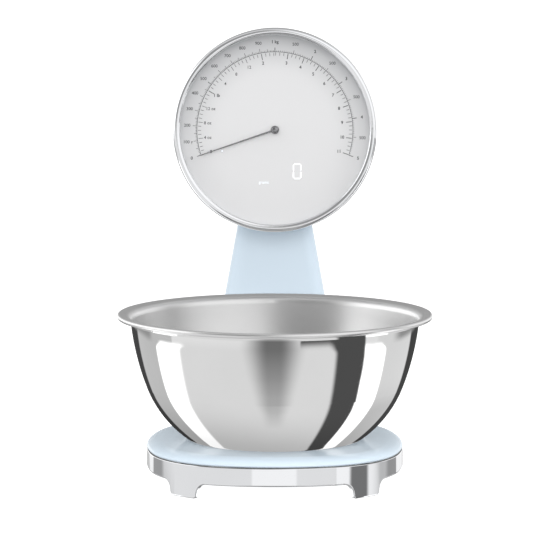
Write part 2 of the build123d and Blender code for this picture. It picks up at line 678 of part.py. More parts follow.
CORE_TOP_SCREW_X = 9.0
CORE_TOP_SCREW_Z = 215.5
CORE_SCREW_LENGTH = 8.0
core_top_planes = [Plane(origin=(side * CORE_TOP_SCREW_X, AXIS_Y + CORE_FRONT + CORE_SHEET,
                                 CORE_TOP_SCREW_Z), x_dir=(1, 0, 0), z_dir=(0, -1, 0))
                   for side in (-1, 1)]
core_base_planes = [Plane(origin=(side * CORE_SCREW_X, AXIS_Y + CORE_SCREW_Y, TRAY_BOTTOM))
                    for side in (-1, 1)]

with BuildPart() as column_core:
    with BuildSketch(base_plane(TRAY_FLOOR)):
        with Locations((0, CORE_FRONT + CORE_DEPTH / 2)):
            Rectangle(CORE_WIDTH, CORE_DEPTH)
        with Locations((0, CORE_FRONT + CORE_SHEET + CORE_DEPTH / 2)):
            Rectangle(CORE_WIDTH - 2 * CORE_SHEET, CORE_DEPTH, mode=Mode.SUBTRACT)
    extrude(amount=CORE_TOP - TRAY_FLOOR)
    with BuildSketch(base_plane(TRAY_FLOOR)):
        with Locations((0, (CORE_FOOT_FRONT + CORE_FRONT) / 2)):
            Rectangle(CORE_WIDTH, CORE_FRONT - CORE_FOOT_FRONT)
    extrude(amount=CORE_SHEET)
    with BuildSketch(base_plane(TRAY_FLOOR)):
        with Locations((-CORE_SCREW_X, CORE_SCREW_Y), (CORE_SCREW_X, CORE_SCREW_Y)):
            Circle(SCREW_HOLE_R)
    extrude(amount=CORE_SHEET, mode=Mode.SUBTRACT)
    for plane in core_top_planes:
        with BuildSketch(plane):
            Circle(SCREW_HOLE_R)
        extrude(amount=CORE_SHEET, mode=Mode.SUBTRACT)
export(column_core, "column_core")

core_screws = screw_group(core_top_planes + core_base_planes, CORE_SCREW_LENGTH)
export(core_screws, "core_screws")

# ---------------------------------------------------------------- dial head: housing
HEAD_BOSS = 42.4                                         # boss offset from the dial's axis, both ways
HEAD_BOSS_POINTS = [(x, y) for x in (-HEAD_BOSS, HEAD_BOSS) for y in (-HEAD_BOSS, HEAD_BOSS)]
HEAD_SCREW_SEAT = SHELL_BACK + 1.2
SHELL_FRONT = -2.2
SHELL_INNER_R = SHELL_R - SHELL_WALL
SHELL_INNER_BACK = SHELL_BACK + SHELL_WALL
OPENING_FRONT = 136.0
BUTTON_POINTS = [(-BUTTON_X, BUTTON_UP), (BUTTON_X, BUTTON_UP)]
BUTTON_GAP = 0.3

with BuildPart() as head_shell:
    add(drum(SHELL_R, SHELL_BACK, SHELL_EDGE_R, SHELL_FRONT))
    add(drum(SHELL_INNER_R, SHELL_INNER_BACK, SHELL_EDGE_R - SHELL_WALL, SHELL_FRONT),
        mode=Mode.SUBTRACT)
    with BuildSketch(base_plane(DIAL_Z - BEZEL_R - 5)):
        with Locations((0, (OPENING_FRONT + SLOT_BACK) / 2)):
            RectangleRounded(2 * (CABLE_X + 2), SLOT_BACK - OPENING_FRONT, 3)
    extrude(amount=30, mode=Mode.SUBTRACT)
    with BuildSketch(DIAL.offset(SHELL_BACK)):
        with Locations(*HEAD_BOSS_POINTS):
            Circle(SCREW_HOLE_R)
        with Locations(*BUTTON_POINTS):
            Circle(BUTTON_R + BUTTON_GAP)
    extrude(amount=SHELL_WALL, mode=Mode.SUBTRACT)
    with BuildSketch(DIAL.offset(SHELL_BACK)):
        with Locations(*HEAD_BOSS_POINTS):
            Circle(RECESS_R)
    extrude(amount=HEAD_SCREW_SEAT - SHELL_BACK, mode=Mode.SUBTRACT)
export(head_shell, "head_shell")

BEZEL_BACK = -10.0
BEZEL_CREST = (83.6, 11.0)                               # radius and height of the rounded front
BEZEL_SHOULDER = 5.0
GLASS_SEAT_R = 82.7

with BuildPart() as dial_bezel:
    with BuildSketch(DIAL_SECTION):
        with BuildLine():
            outside = Line((BEZEL_R, BEZEL_BACK), (BEZEL_R, BEZEL_SHOULDER))
            crest = Bezier(outside @ 1, (BEZEL_R, BEZEL_CREST[1]), BEZEL_CREST)
            lip = Bezier(crest @ 1, (BEZEL_OPENING_R + 0.8, BEZEL_CREST[1]),
                         (BEZEL_OPENING_R, GLASS_FRONT + 1.6))
            Polyline(lip @ 1, (BEZEL_OPENING_R, GLASS_FRONT + 0.2), (GLASS_SEAT_R, GLASS_FRONT + 0.2),
                     (GLASS_SEAT_R, SHELL_FRONT + 0.2), (SHELL_R + FIT, SHELL_FRONT + 0.2),
                     (SHELL_R + FIT, BEZEL_BACK), outside @ 0)
        make_face()
    revolve(axis=DIAL_AXIS)
export(dial_bezel, "dial_bezel")


def dial_disc(name, outer_r, inner_r, bottom, top):
    """Disc or ring stacked on the dial's axis between two heights."""
    with BuildPart() as disc:
        with BuildSketch(DIAL.offset(bottom)):
            Circle(outer_r)
            if inner_r:
                Circle(inner_r, mode=Mode.SUBTRACT)
        extrude(amount=top - bottom)
    export(disc, name)


GLASS_BACK = GLASS_FRONT - GLASS_THICK
GASKET_THICK = 1.5
dial_disc("dial_glass", GLASS_R, 0, GLASS_BACK, GLASS_FRONT)
dial_disc("glass_gasket", GLASS_R, BEZEL_OPENING_R + 0.2, GLASS_BACK - GASKET_THICK, GLASS_BACK)
dial_disc("face_spacer", GLASS_R, BEZEL_OPENING_R - 0.1, 0, GLASS_BACK - GASKET_THICK)

# ---------------------------------------------------------------- dial head: face and electronics
LIGHT_POINT = (-45.1, -18.0)
LIGHT_R = 0.8
SHAFT_HOLE_R = 2.2

with BuildPart() as dial_face:
    with BuildSketch(DIAL.offset(-FACE_THICK)):
        Circle(GLASS_R - 0.2)
        Circle(SHAFT_HOLE_R, mode=Mode.SUBTRACT)
        with Locations(LIGHT_POINT):
            Circle(LIGHT_R + FIT, mode=Mode.SUBTRACT)
    extrude(amount=FACE_THICK)
export(dial_face, "dial_face")

with BuildPart() as status_light:
    with BuildSketch(DIAL.offset(BOARD_FRONT)):
        with Locations(LIGHT_POINT):
            Circle(LIGHT_R)
    extrude(amount=0.2 - BOARD_FRONT)
export(status_light, "status_light")

BOARD_BACK = BOARD_FRONT - BOARD_THICK
BOARD_SIZE = (93.0, 74.0)
BOARD_MIDDLE = (0.0, -15.0)
BOARD_POST_POINTS = [(x, y) for x in (-41, 41) for y in (-47, 17)]
MOTOR_MIDDLE = (0.0, -7.5)
MOTOR_SCREW_POINTS = [(-15.5, -9.0), (15.5, -9.0)]
MOTOR_SCREW_R = 1.0
SWITCH_BACK = BOARD_BACK - 3.4
SWITCH_TIP = SWITCH_BACK - 1.0
SWITCH_R = 1.7

with BuildPart() as main_board:
    with BuildSketch(DIAL.offset(BOARD_BACK)):
        with Locations(BOARD_MIDDLE):
            RectangleRounded(*BOARD_SIZE, 4)
        Circle(SHAFT_R + 0.6, mode=Mode.SUBTRACT)
        with Locations(*MOTOR_SCREW_POINTS):
            Circle(MOTOR_SCREW_R + 0.1, mode=Mode.SUBTRACT)
    extrude(amount=BOARD_THICK)
    # controller chip, and the connector that takes the signal cable
    with BuildSketch(DIAL.offset(BOARD_BACK)):
        with Locations((0, 8)):
            Rectangle(12, 12)
    extrude(amount=-1.2)
    with BuildSketch(DIAL.offset(BOARD_BACK)):
        with Locations((CABLE_X, -47)):
            Rectangle(8, 6)
    extrude(amount=-4)
export(main_board, "main_board")

with BuildPart() as gauge_motor:
    with BuildSketch(DIAL.offset(BOARD_FRONT)):
        with Locations(MOTOR_MIDDLE):
            Circle(13.5)
            SlotCenterToCenter(31, 6.5)
    extrude(amount=COMPONENT_FRONT - BOARD_FRONT)
    with BuildSketch(DIAL.offset(-6.5)):
        Circle(SHAFT_R + RUNNING_GAP)
    extrude(amount=6.5, mode=Mode.SUBTRACT)
    with BuildSketch(DIAL.offset(BOARD_FRONT)):
        with Locations(*MOTOR_SCREW_POINTS):
            Circle(MOTOR_SCREW_R + 0.1)
    extrude(amount=5.0, mode=Mode.SUBTRACT)
export(gauge_motor, "gauge_motor")

motor_screw_planes = [Plane(origin=DIAL.from_local_coords((x, y, BOARD_BACK)), x_dir=(1, 0, 0),
                            z_dir=DIAL.z_dir) for x, y in MOTOR_SCREW_POINTS]
motor_screws = screw_group(motor_screw_planes, 6.0, MOTOR_SCREW_R, 1.9, 1.2)
export(motor_screws, "motor_screws")

# The four digits stand right of the middle, the unit words in a strip below them
DIGIT_HEIGHT = 13.5
DIGIT_PITCH = 9.6
LAST_DIGIT = (19.0, -35.2)
UNIT_STRIP = (4.0, -45.0)

with BuildPart() as led_display:
    with BuildSketch(DIAL.offset(BOARD_FRONT)):
        with Locations((LAST_DIGIT[0] - 1.5 * DIGIT_PITCH, LAST_DIGIT[1])):
            Rectangle(4 * DIGIT_PITCH + 1.4, DIGIT_HEIGHT + 1.5)
    extrude(amount=COMPONENT_FRONT - BOARD_FRONT)
export(led_display, "led_display")

with BuildPart() as unit_display:
    with BuildSketch(DIAL.offset(BOARD_FRONT)):
        with Locations(UNIT_STRIP):
            Rectangle(44, 3.8)
    extrude(amount=COMPONENT_FRONT - BOARD_FRONT)
export(unit_display, "unit_display")

with BuildPart() as button_switches:
    with BuildSketch(DIAL.offset(BOARD_BACK)):
        with Locations(*BUTTON_POINTS):
            Rectangle(6, 6)
    extrude(amount=SWITCH_BACK - BOARD_BACK)
    with BuildSketch(DIAL.offset(SWITCH_BACK)):
        with Locations(*BUTTON_POINTS):
            Circle(SWITCH_R)
    extrude(amount=SWITCH_TIP - SWITCH_BACK)
export(button_switches, "button_switches")

# ---------------------------------------------------------------- dial head: carrier
CARRIER_R = 82.3
CARRIER_PLATE = 2.0
BRACKET_HALF = 18.0
BRACKET_UP = (-76.0, -54.0)
STEM_R = 2.6
STEM_TUBE_R = 4.4
STEM_TUBE_BACK = -34.0

with BuildPart() as dial_carrier:
    with BuildSketch(DIAL.offset(CARRIER_BACK)):
        Circle(CARRIER_R)
        with Locations((-CABLE_X, -56), (CABLE_X, -56)):
            RectangleRounded(11, 29, 2, mode=Mode.SUBTRACT)
        with Locations((0, 8)):
            RectangleRounded(24, 20, 3, mode=Mode.SUBTRACT)
        with PolarLocations(62, 3, start_angle=0, angular_range=180):
            RectangleRounded(12, 30, 5, mode=Mode.SUBTRACT)
        with Locations(*BUTTON_POINTS):
            Circle(5.2, mode=Mode.SUBTRACT)
    extrude(amount=CARRIER_PLATE)
    with BuildSketch(DIAL.offset(CARRIER_BACK)):
        Circle(CARRIER_R)
        Circle(CARRIER_R - 2.5, mode=Mode.SUBTRACT)
    extrude(amount=-FACE_THICK - CARRIER_BACK)
    with BuildSketch(DIAL.offset(CARRIER_BACK + CARRIER_PLATE)):
        with Locations(*BOARD_POST_POINTS):
            Circle(3)
    extrude(amount=BOARD_BACK - CARRIER_BACK - CARRIER_PLATE)
    # bosses for the screws that come in through the back of the shell
    with BuildSketch(DIAL.offset(CARRIER_BACK)):
        with Locations(*HEAD_BOSS_POINTS):
            Circle(4.5)
    extrude(amount=SHELL_INNER_BACK - CARRIER_BACK)
    with BuildSketch(DIAL.offset(SHELL_INNER_BACK)):
        with Locations(*HEAD_BOSS_POINTS):
            Circle(SCREW_HOLE_R)
    extrude(amount=11, mode=Mode.SUBTRACT)
    # tubes that guide the two button stems
    with BuildSketch(DIAL.offset(STEM_TUBE_BACK)):
        with Locations(*BUTTON_POINTS):
            Circle(STEM_TUBE_R)
            Circle(STEM_R + BUTTON_GAP, mode=Mode.SUBTRACT)
    extrude(amount=CARRIER_BACK - 0.8 - STEM_TUBE_BACK)
    with BuildSketch(DIAL.offset(CARRIER_BACK - 0.8)):
        with Locations(*BUTTON_POINTS):
            Circle(7)
            Circle(5.2, mode=Mode.SUBTRACT)
    extrude(amount=0.8)
    with BuildSketch(DIAL.offset(CARRIER_BACK - 1.6)):
        with Locations(*BUTTON_POINTS):
            Circle(7)
            Circle(STEM_R + BUTTON_GAP, mode=Mode.SUBTRACT)
    extrude(amount=0.8)
export(dial_carrier, "dial_carrier")

with BuildPart() as head_bracket:
    with BuildSketch(DIAL.offset(CARRIER_BACK)):
        with Locations((0, sum(BRACKET_UP) / 2)):
            Rectangle(2 * BRACKET_HALF, BRACKET_UP[1] - BRACKET_UP[0])
    extrude(amount=-25)
    with BuildSketch(base_plane(CORE_TOP_SCREW_Z - 40)):
        with Locations((0, CORE_FRONT + 20)):
            Rectangle(4 * BRACKET_HALF, 40)
    extrude(amount=80, mode=Mode.SUBTRACT)
    for plane in core_top_planes:
        with BuildSketch(plane):
            Circle(SCREW_HOLE_R)
        extrude(amount=CORE_SCREW_LENGTH, mode=Mode.SUBTRACT)
export(head_bracket, "head_bracket")

head_screw_planes = [Plane(origin=DIAL.from_local_coords((x, y, HEAD_SCREW_SEAT)), x_dir=(1, 0, 0),
                           z_dir=DIAL.z_dir) for x, y in HEAD_BOSS_POINTS]
head_screws = screw_group(head_screw_planes, 10.0, head_height=1.1)
export(head_screws, "head_screws")

# ---------------------------------------------------------------- dial head: buttons
BUTTON_BACK = SHELL_BACK - 2.2
FLANGE_BACK = SHELL_INNER_BACK + 0.3
FLANGE_THICK = 1.2

for point, name in zip(BUTTON_POINTS, ("unit_button", "tare_button")):
    with BuildPart() as button:
        with BuildSketch(DIAL.offset(BUTTON_BACK)):
            with Locations(point):
                Circle(BUTTON_R)
        extrude(amount=FLANGE_BACK - BUTTON_BACK)
        fillet(button.faces().sort_by(DIAL_AXIS)[0].edges(), radius=0.8)
        with BuildSketch(DIAL.offset(FLANGE_BACK)):
            with Locations(point):
                Circle(BUTTON_R + 1.6)
        extrude(amount=FLANGE_THICK)
        with BuildSketch(DIAL.offset(FLANGE_BACK + FLANGE_THICK)):
            with Locations(point):
                Circle(STEM_R)
        extrude(amount=SWITCH_TIP - BUTTON_TRAVEL - 0.2 - FLANGE_BACK - FLANGE_THICK)
    export(button, name)

# ---------------------------------------------------------------- pointer
HUB_R = 3.6
NEEDLE_BOTTOM = 2.2
NEEDLE_THICK = 0.8
ROOT_HALF = 0.8
TIP_HALF = 0.42

with BuildPart() as pointer_shaft:
    with BuildSketch(DIAL.offset(-6.0)):
        Circle(SHAFT_R)
    extrude(amount=6.0 + NEEDLE_BOTTOM)
export(pointer_shaft, "pointer_shaft")

with BuildPart() as pointer_needle:
    with BuildSketch(DIAL.offset(NEEDLE_BOTTOM)):
        Circle(HUB_R - 0.7)
        with PolarLocations(0, 1, start_angle=POINTER_REST):
            Polygon((0, -ROOT_HALF), (POINTER_LENGTH, -TIP_HALF), (POINTER_LENGTH, TIP_HALF),
                    (0, ROOT_HALF), align=None)
    extrude(amount=NEEDLE_THICK)
export(pointer_needle, "pointer_needle")

CAP_BOTTOM = NEEDLE_BOTTOM + NEEDLE_THICK
CAP_HEIGHT = 2.5
CAP_EDGE = 0.3
with BuildPart() as pointer_cap:
    with BuildSketch(DIAL_SECTION):
        with BuildLine():
            rim = Line((HUB_R, CAP_BOTTOM), (HUB_R, CAP_BOTTOM + CAP_EDGE))
            dome = Bezier(rim @ 1, (HUB_R * 0.8, CAP_BOTTOM + CAP_HEIGHT),
                          (0, CAP_BOTTOM + CAP_HEIGHT))
            Polyline(dome @ 1, (0, CAP_BOTTOM), rim @ 0)
        make_face()
    revolve(axis=DIAL_AXIS)
export(pointer_cap, "pointer_cap")
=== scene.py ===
import json
import math

import bpy
from mathutils import Matrix, Vector


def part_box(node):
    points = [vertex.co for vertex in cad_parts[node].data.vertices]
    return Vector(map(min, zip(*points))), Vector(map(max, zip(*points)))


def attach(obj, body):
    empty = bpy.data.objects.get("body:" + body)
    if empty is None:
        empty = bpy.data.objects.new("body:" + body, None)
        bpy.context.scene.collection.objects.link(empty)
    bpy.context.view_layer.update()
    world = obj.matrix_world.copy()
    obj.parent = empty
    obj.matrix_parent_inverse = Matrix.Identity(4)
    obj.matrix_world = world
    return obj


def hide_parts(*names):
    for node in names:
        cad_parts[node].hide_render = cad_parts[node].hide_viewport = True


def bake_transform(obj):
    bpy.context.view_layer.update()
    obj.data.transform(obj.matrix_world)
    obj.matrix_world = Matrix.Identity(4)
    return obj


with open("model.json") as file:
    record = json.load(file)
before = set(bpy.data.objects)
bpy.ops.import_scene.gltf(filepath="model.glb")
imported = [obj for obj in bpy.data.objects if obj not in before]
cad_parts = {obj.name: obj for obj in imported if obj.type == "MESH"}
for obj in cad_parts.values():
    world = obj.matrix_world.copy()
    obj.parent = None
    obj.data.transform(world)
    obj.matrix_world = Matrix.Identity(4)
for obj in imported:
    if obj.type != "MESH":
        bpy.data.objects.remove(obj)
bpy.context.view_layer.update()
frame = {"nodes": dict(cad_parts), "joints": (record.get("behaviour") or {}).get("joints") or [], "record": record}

MM = 0.001

# ---------------------------------------------------------------- places taken from the frame
bowl_low, bowl_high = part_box("mixing_bowl")
AXIS_Y = (bowl_low.y + bowl_high.y) / 2
BASE_BODY = "base"

DIAL_TILT = math.radians(4.0)
DIAL_OUT = Vector((0, -math.cos(DIAL_TILT), math.sin(DIAL_TILT)))
DIAL_UP = Vector((0, math.sin(DIAL_TILT), math.cos(DIAL_TILT)))
pointer_joint = next(j for j in frame["joints"] if j["name"] == "pointer_turn")
DIAL_CENTRE = Vector(pointer_joint["pos_m"])
DIAL_MATRIX = Matrix.Translation(DIAL_CENTRE) @ Matrix(
    ((1, 0, 0), DIAL_UP, DIAL_OUT)).transposed().to_4x4()


# ---------------------------------------------------------------- camera
CAMERA_DISTANCE = 2.4
CAMERA_HEIGHT = 0.4513
CAMERA_PITCH = math.radians(6.55)
CAMERA_YAW = math.radians(0.163)
LENS = 199.6

camera_data = bpy.data.cameras.new("camera")
camera_data.lens = LENS
camera_data.sensor_width = 36.0
camera_data.clip_end = 200.0
camera = bpy.data.objects.new("camera", camera_data)
bpy.context.scene.collection.objects.link(camera)
camera.location = (0, AXIS_Y - CAMERA_DISTANCE, CAMERA_HEIGHT)
camera.rotation_euler = (math.pi / 2 - CAMERA_PITCH, 0, CAMERA_YAW)
bpy.context.scene.camera = camera
bpy.context.scene.view_settings.view_transform = "Standard"


# ---------------------------------------------------------------- node building
class Nodes:
    """Builds one node tree. Numbers and sockets can be mixed as arguments."""

    def __init__(self, tree):
        self.tree = tree
        tree.nodes.clear()

    def add(self, kind, inputs=None, **settings):
        node = self.tree.nodes.new(kind)
        for name, value in settings.items():
            setattr(node, name, value)
        for name, value in (inputs or {}).items():
            self.set(node.inputs[name], value)
        return node

    def set(self, socket, value):
        if isinstance(value, bpy.types.NodeSocket):
            self.tree.links.new(value, socket)
        else:
            socket.default_value = value

    def math(self, operation, a, b=0.0):
        node = self.add("ShaderNodeMath", operation=operation)
        self.set(node.inputs[0], a)
        self.set(node.inputs[1], b)
        return node.outputs[0]

    def vector(self, operation, a, b=(0, 0, 0), scale=1.0):
        node = self.add("ShaderNodeVectorMath", operation=operation)
        self.set(node.inputs[0], a)
        self.set(node.inputs[1], b)
        if operation == "SCALE":
            self.set(node.inputs["Scale"], scale)
        return node.outputs["Value" if operation in ("DOT_PRODUCT", "LENGTH") else "Vector"]

    def xyz(self, vector):
        return self.add("ShaderNodeSeparateXYZ", {"Vector": vector}).outputs

    def join(self, x, y, z):
        return self.add("ShaderNodeCombineXYZ", {"X": x, "Y": y, "Z": z}).outputs[0]

    def ramp(self, value, low, high, to_low=0.0, to_high=1.0, smooth=True):
        kind = "SMOOTHSTEP" if smooth else "LINEAR"
        node = self.add("ShaderNodeMapRange", {"Value": value, "From Min": low, "From Max": high,
                                               "To Min": to_low, "To Max": to_high},
                        interpolation_type=kind)
        return node.outputs["Result"]

    def band(self, value, low, high, soft):
        """1 between low and high, falling to 0 over soft at each end."""
        rise = self.ramp(value, low - soft / 2, low + soft / 2)
        fall = self.ramp(value, high - soft / 2, high + soft / 2, 1.0, 0.0)
        return self.math("MULTIPLY", rise, fall)

    def rounded(self, x, y, x_range, y_range, corner, soft):
        """1 inside a box with round corners, falling to 0 over soft."""
        beyond = []
        for value, (low, high) in ((x, x_range), (y, y_range)):
            from_middle = self.math("ABSOLUTE", self.math("SUBTRACT", value, (low + high) / 2))
            past = self.math("SUBTRACT", from_middle, (high - low) / 2 - corner)
            beyond.append(self.math("MAXIMUM", past, 0.0))
        distance = self.vector("LENGTH", self.join(*beyond, 0.0))
        return self.ramp(distance, corner - soft / 2, corner + soft / 2, 1.0, 0.0)

    def mix(self, factor, a, b):
        node = self.add("ShaderNodeMix", {"Factor": factor}, data_type="FLOAT")
        self.set(node.inputs[2], a)
        self.set(node.inputs[3], b)
        return node.outputs[0]

    def mix_colour(self, factor, a, b):
        node = self.add("ShaderNodeMix", data_type="RGBA")
        self.set(node.inputs["Factor"], factor)
        self.set(node.inputs[6], a)
        self.set(node.inputs[7], b)
        return node.outputs[2]

    def noise(self, vector, scale, detail=3.0, roughness=0.5):
        node = self.add("ShaderNodeTexNoise", {"Vector": vector, "Scale": scale, "Detail": detail,
                                               "Roughness": roughness})
        return node.outputs["Fac"]

    def place(self):
        """Position in the row frame: every CAD node's object sits at its origin."""
        return self.add("ShaderNodeTexCoord").outputs["Object"]

    def bump(self, height, strength, distance):
        node = self.add("ShaderNodeBump", {"Height": height, "Strength": strength,
                                           "Distance": distance})
        return node.outputs["Normal"]


def rgb(*values):
    """Colour socket value from 8-bit sRGB numbers."""
    linear = [v / 255 / 12.92 if v <= 10 else ((v / 255 + 0.055) / 1.055) ** 2.4 for v in values]
    return (*linear, 1.0)


def principled(name, colour, roughness, metallic=0.0, extra=None, tree=None):
    """Material with one Principled shader. tree(n, shader) adds its detail."""
    material = bpy.data.materials.new(name)
    material.use_nodes = True
    n = Nodes(material.node_tree)
    shader = n.add("ShaderNodeBsdfPrincipled", {"Base Color": colour, "Roughness": roughness,
                                                "Metallic": metallic, **(extra or {})})
    if tree:
        tree(n, shader)
    output = n.add("ShaderNodeOutputMaterial")
    n.set(output.inputs["Surface"], shader.outputs[0])
    return material


def varied(n, vector, colour, amount, scale):
    """colour with slow lightness changes of the given amount."""
    cloud = n.noise(vector, scale, 4.0)
    dark = tuple(c * (1 - amount) for c in colour[:3]) + (1.0,)
    light = tuple(min(1.0, c * (1 + amount)) for c in colour[:3]) + (1.0,)
    return n.mix_colour(n.ramp(cloud, 0.3, 0.7), dark, light)


# ---------------------------------------------------------------- materials
def moulded(colour, rough_low, rough_high, grain_scale, grain_height, variation=0.015):
    """Detail of a moulded or lacquered surface: slow colour drift, uneven gloss, fine grain."""
    def tree(n, shader):
        place = n.place()
        n.set(shader.inputs["Base Color"], varied(n, place, colour, variation, 24))
        wipe = n.noise(place, 60, 5.0)
        n.set(shader.inputs["Roughness"], n.ramp(wipe, 0.3, 0.7, rough_low, rough_high))
        grain = n.noise(place, grain_scale, 2.0)
        n.set(shader.inputs["Normal"], n.bump(grain, 0.35, grain_height))
    return tree


def polished(colour, rough_low, rough_high, wave_height, scratch=0.06):
    """Detail of polished metal: a slight wave in the surface and hairline polishing marks."""
    def tree(n, shader):
        place = n.place()
        n.set(shader.inputs["Base Color"], varied(n, place, colour, 0.01, 30))
        marks = n.noise(n.vector("MULTIPLY", place, (60.0, 60.0, 900.0)), 1.0, 6.0, 0.7)
        n.set(shader.inputs["Roughness"], n.ramp(marks, 0.35, 0.75, rough_low, rough_high))
        wave = n.noise(place, 45, 1.0)
        height = n.math("ADD", wave, n.math("MULTIPLY", marks, scratch))
        n.set(shader.inputs["Normal"], n.bump(height, 0.2, wave_height))
    return tree


CHROME = rgb(228, 229, 231)
CHROME_FINISH = (0.02, 0.06, 0.00002)                    # rough_low, rough_high, wave_height
PAINTED_GAP_SHADE = 0.12                                         # brightness of the face turned up: painted shade in the gap under the platform
PAINTED_TABLE_SHADE = 0.38                                       # brightness of the edges turned down: painted shade where they face the table
SIDE_LEAN = 0.19                                         # slope of the normals at both ends


def skirt_chrome(n, shader):
    """Polished chrome, with painted shade in the gap under the platform and on the edges turned to the table."""
    polished(CHROME, *CHROME_FINISH)(n, shader)
    facing = n.xyz(n.add("ShaderNodeTexCoord").outputs["Normal"])[2]
    # painted shade: darker where the face turns up into the gap under the platform and where the edges turn down
    # to the table
    painted_shade = n.math("MULTIPLY", n.ramp(facing, 0.35, 0.85, 1.0, PAINTED_GAP_SHADE),
                   n.ramp(facing, -0.75, -0.12, PAINTED_TABLE_SHADE, 1.0))
    unshaded_colour = shader.inputs["Base Color"].links[0].from_socket
    n.set(shader.inputs["Base Color"], n.vector("SCALE", unshaded_colour, scale=painted_shade))
    # normals at the left and right ends lean up, so that the ends mirror the upright panels
    normal = n.add("ShaderNodeNewGeometry").outputs["Normal"]
    sideways = n.math("ABSOLUTE", n.xyz(normal)[0])
    lean = n.join(0.0, 0.0, n.ramp(sideways, 0.92, 0.965, 0.0, SIDE_LEAN))
    wave = shader.inputs["Normal"].links[0].from_node
    n.set(wave.inputs["Normal"], n.vector("NORMALIZE", n.vector("ADD", normal, lean)))


STEEL = rgb(217, 217, 217)
RIM_START_R = 0.1186                                     # where the polish gives way to satin
RIM_END_R = 0.1200
RIM_ROUGHNESS = 0.30
BRUSH_CENTRE_Z = 0.30


def spun_steel(n, shader):
    """Bowl: mirror polish outside, satin rim, a fine circular brushing inside."""
    coordinates = n.add("ShaderNodeTexCoord")
    place = coordinates.outputs["Object"]
    from_axis = n.vector("SUBTRACT", place, (0, AXIS_Y, 0))
    x, y, z = n.xyz(from_axis)
    radius = n.math("SQRT", n.math("ADD", n.math("MULTIPLY", x, x), n.math("MULTIPLY", y, y)))
    angle = n.math("ARCTAN2", x, y)
    towards = n.vector("SUBTRACT", place, (0, AXIS_Y, BRUSH_CENTRE_Z))
    facing = n.vector("DOT_PRODUCT", coordinates.outputs["Normal"], n.vector("NORMALIZE", towards))
    inside = n.ramp(facing, -0.1, 0.1, 1.0, 0.0)
    along = n.math("ADD", radius, z)
    rings = n.noise(n.join(n.math("MULTIPLY", along, 5200), n.math("MULTIPLY", angle, 1.5), 0), 1.0,
                    4.0, 0.7)
    streaks = n.noise(n.join(n.math("MULTIPLY", along, 420), n.math("MULTIPLY", angle, 5), 0), 1.0,
                      3.0)
    n.set(shader.inputs["Base Color"], varied(n, place, STEEL, 0.012, 20))
    rim = n.ramp(radius, RIM_START_R, RIM_END_R)
    polish = n.mix(rim, n.ramp(streaks, 0.3, 0.7, 0.025, 0.05), RIM_ROUGHNESS)
    brush = n.ramp(rings, 0.3, 0.7, 0.30, 0.40)
    n.set(shader.inputs["Roughness"], n.mix(inside, polish, brush))
    height = n.math("MULTIPLY", rings, n.mix(inside, 0.03, 1.0))
    n.set(shader.inputs["Normal"], n.bump(height, 0.25, 0.00002))


PALE_BLUE = rgb(219, 234, 246)
PALE_BLUE_FINISH = (0.22, 0.25, 300, 0.0000002, 0.003)
BLUE_GLOSS = {"Coat Weight": 0.1, "Coat Roughness": 0.03, "IOR": 1.36,
              "Specular IOR Level": 0.2}


FACE_MIDDLE = rgb(219, 219, 220)
# colour of the painted shadow under the upper rim
FACE_PAINTED_SHADOW = rgb(187, 188, 190)


def dial_paper(n, shader):
    """Satin printed face, with a painted shadow of the upper rim in a crescent along its top."""
    place = n.place()
    centre = tuple(DIAL_CENTRE)
    radius = n.vector("LENGTH", n.vector("SUBTRACT", place, centre))
    above = n.vector("DOT_PRODUCT", n.vector("SUBTRACT", place, centre), tuple(DIAL_UP))
    # painted shadow cast by the upper rim: strongest at the top, half as strong at the sides, almost none at the
    # bottom
    crescent = n.ramp(above, -0.07, 0.07, 0.04, 1.0)
    painted_shadow_mask = n.math("MULTIPLY", n.ramp(radius, 0.046, 0.086), crescent)
    painted_shade = n.mix_colour(painted_shadow_mask, FACE_MIDDLE, FACE_PAINTED_SHADOW)
    speck = n.noise(place, 5200, 2.0)
    n.set(shader.inputs["Base Color"], painted_shade)
    n.set(shader.inputs["Roughness"], n.ramp(speck, 0.3, 0.7, 0.42, 0.52))
    n.set(shader.inputs["Normal"], n.bump(speck, 0.15, 0.00003))


BATTERY_DARK = rgb(38, 40, 46)
BATTERY_COPPER = rgb(176, 112, 62)
COPPER_START_Y = AXIS_Y + 0.072
COPPER_EDGE = 0.0005


def battery_film(n, shader):
    """Plain two-tone wrap: dark body with a copper-coloured end."""
    place = n.place()
    end = n.ramp(n.xyz(place)[1], COPPER_START_Y, COPPER_START_Y + COPPER_EDGE)
    n.set(shader.inputs["Base Color"], n.mix_colour(end, BATTERY_DARK, BATTERY_COPPER))
    n.set(shader.inputs["Roughness"], n.ramp(n.noise(place, 300), 0.3, 0.7, 0.22, 0.34))


def board(n, shader):
    """Green solder mask with fine copper runs showing through it."""
    place = n.place()
    runs = n.add("ShaderNodeTexBrick", {"Vector": place, "Scale": 260.0, "Mortar Size": 0.08,
                                        "Color1": rgb(18, 82, 46), "Color2": rgb(22, 92, 50),
                                        "Mortar": rgb(44, 120, 66)})
    n.set(shader.inputs["Base Color"], runs.outputs["Color"])
    n.set(shader.inputs["Roughness"], n.ramp(n.noise(place, 400), 0.3, 0.7, 0.3, 0.42))


# colour, roughness, then what moulded() takes: rough_low, rough_high, grain_scale, grain_height,
# variation
MOULDED = {
    "white_plastic": (rgb(222, 224, 226), 0.4, 0.36, 0.46, 1500, 0.00003),
    "base_plastic": (rgb(190, 194, 198), 0.5, 0.45, 0.6, 2200, 0.00008, 0.03),
    "button_plastic": (rgb(206, 209, 212), 0.3, 0.26, 0.36, 1600, 0.00003),
    "rubber": (rgb(38, 38, 40), 0.8, 0.7, 0.88, 1800, 0.0001, 0.12),
    "cable_sheath": (rgb(52, 52, 54), 0.5, 0.4, 0.55, 1200, 0.00003, 0.06),
    "black_plastic": (rgb(26, 26, 28), 0.45, 0.38, 0.52, 1800, 0.00004, 0.08),
}
